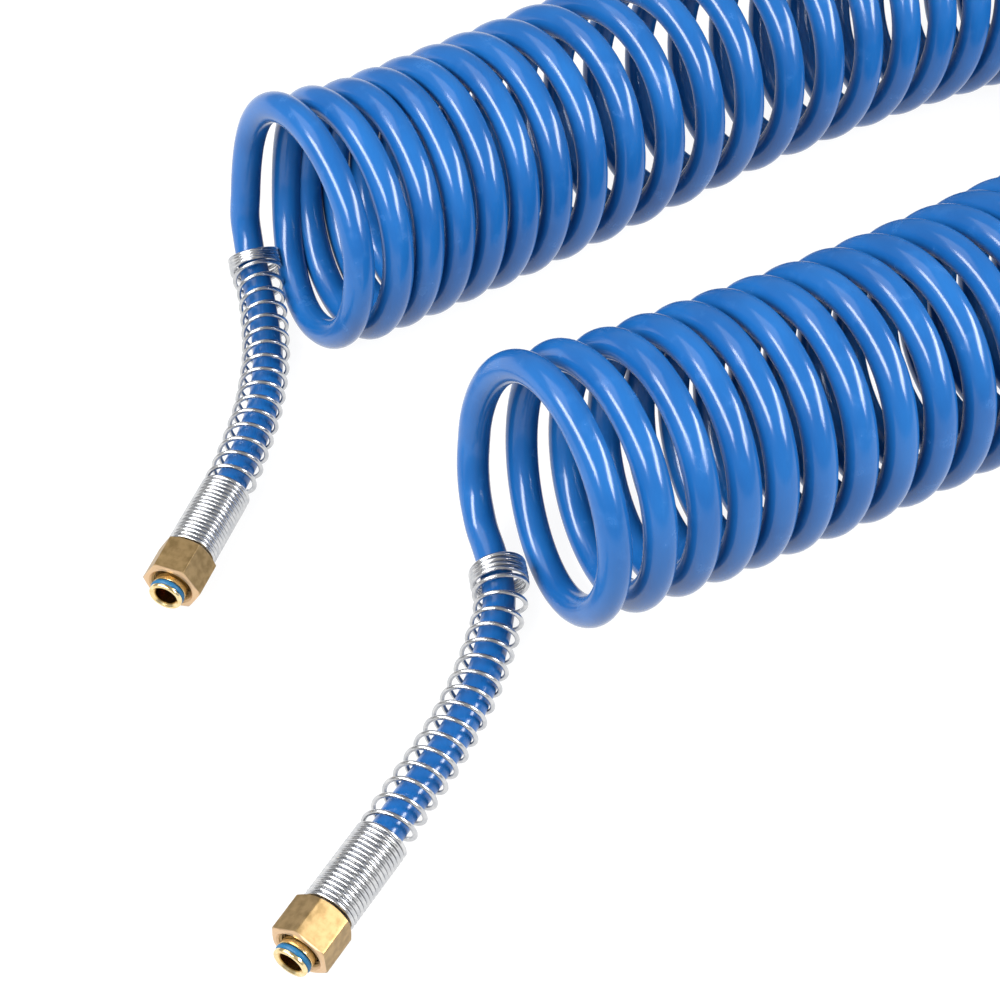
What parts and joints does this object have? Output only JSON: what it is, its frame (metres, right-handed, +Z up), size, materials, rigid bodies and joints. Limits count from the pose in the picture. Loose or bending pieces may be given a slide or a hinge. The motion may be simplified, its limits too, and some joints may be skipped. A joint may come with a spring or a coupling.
{
  "type": "coiled air hose",
  "caption": "Long plastic air hose wound as a springy coil and folded in two, with a spring-guarded swivel-nut fitting at each end.",
  "frame": {"origin": "on the table, at the middle of the box round the two end fittings and their guard springs", "axes": "+X along the coil's two legs, from their free ends to the bend; +Y from the near leg to the far leg; +Z up from the table"},
  "size_m": [0.6207, 0.335, 0.1],
  "materials": {
    "hose": "smooth glossy blue hose plastic",
    "guard_wire": "bright zinc-plated spring wire",
    "ferrule": "plain plated steel, crimped",
    "nut": "plain machined brass, slightly dull",
    "insert": "bright turned brass",
    "seal": "blue-green seal rubber"
  },
  "bodies": {
    "coil": {"near_coil_leg": "hose", "coil_bend": "hose", "far_coil_leg": "hose"},
    "near_lead": {"near_hose_lead": "hose", "near_guard_collar": "guard_wire"},
    "near_end": {"near_hose_tail": "hose", "near_guard_open": "guard_wire", "near_guard_grip": "guard_wire", "near_ferrule": "ferrule", "near_insert": "insert", "near_o_ring": "seal"},
    "near_nut": {"near_swivel_nut": "nut"},
    "far_lead": {"far_hose_lead": "hose", "far_guard_collar": "guard_wire"},
    "far_end": {"far_hose_tail": "hose", "far_guard_open": "guard_wire", "far_guard_grip": "guard_wire", "far_ferrule": "ferrule", "far_insert": "insert", "far_o_ring": "seal"},
    "far_nut": {"far_swivel_nut": "nut"}
  },
  "joints": [
    {"name": "near_stretch", "type": "slide", "parent": "coil", "child": "near_lead", "axis": [-0.8695, -0.4939, 0], "range_m": [0, 0.6], "stiffness_N_per_m": 8, "deforming": ["near_coil_leg"]},
    {"name": "near_flex", "type": "hinge", "parent": "near_lead", "child": "near_end", "pos_m": [0.0282, -0.0848, 0.0098], "axis": [0, 0, 1], "range_deg": [-30, 30], "stiffness_Nm_per_rad": 0.15, "deforming": ["near_guard_open", "near_hose_tail"]},
    {"name": "near_nut_spin", "type": "hinge", "parent": "near_end", "child": "near_nut", "pos_m": [-0.0717, -0.1482, 0.0115], "axis": [0.8695, 0.4939, 0], "continuous": true},
    {"name": "far_stretch", "type": "slide", "parent": "coil", "child": "far_lead", "axis": [-1, 0, 0], "range_m": [0, 0.6], "stiffness_N_per_m": 8, "deforming": ["far_coil_leg"]},
    {"name": "far_flex", "type": "hinge", "parent": "far_lead", "child": "far_end", "pos_m": [0.0254, 0.0778, 0.0098], "axis": [0, 0, 1], "range_deg": [-30, 30], "stiffness_Nm_per_rad": 0.15, "deforming": ["far_guard_open", "far_hose_tail"]},
    {"name": "far_nut_spin", "type": "hinge", "parent": "far_end", "child": "far_nut", "pos_m": [-0.0456, 0.0074, 0.0101], "axis": [0.7536, 0.6574, 0], "continuous": true}
  ]
}
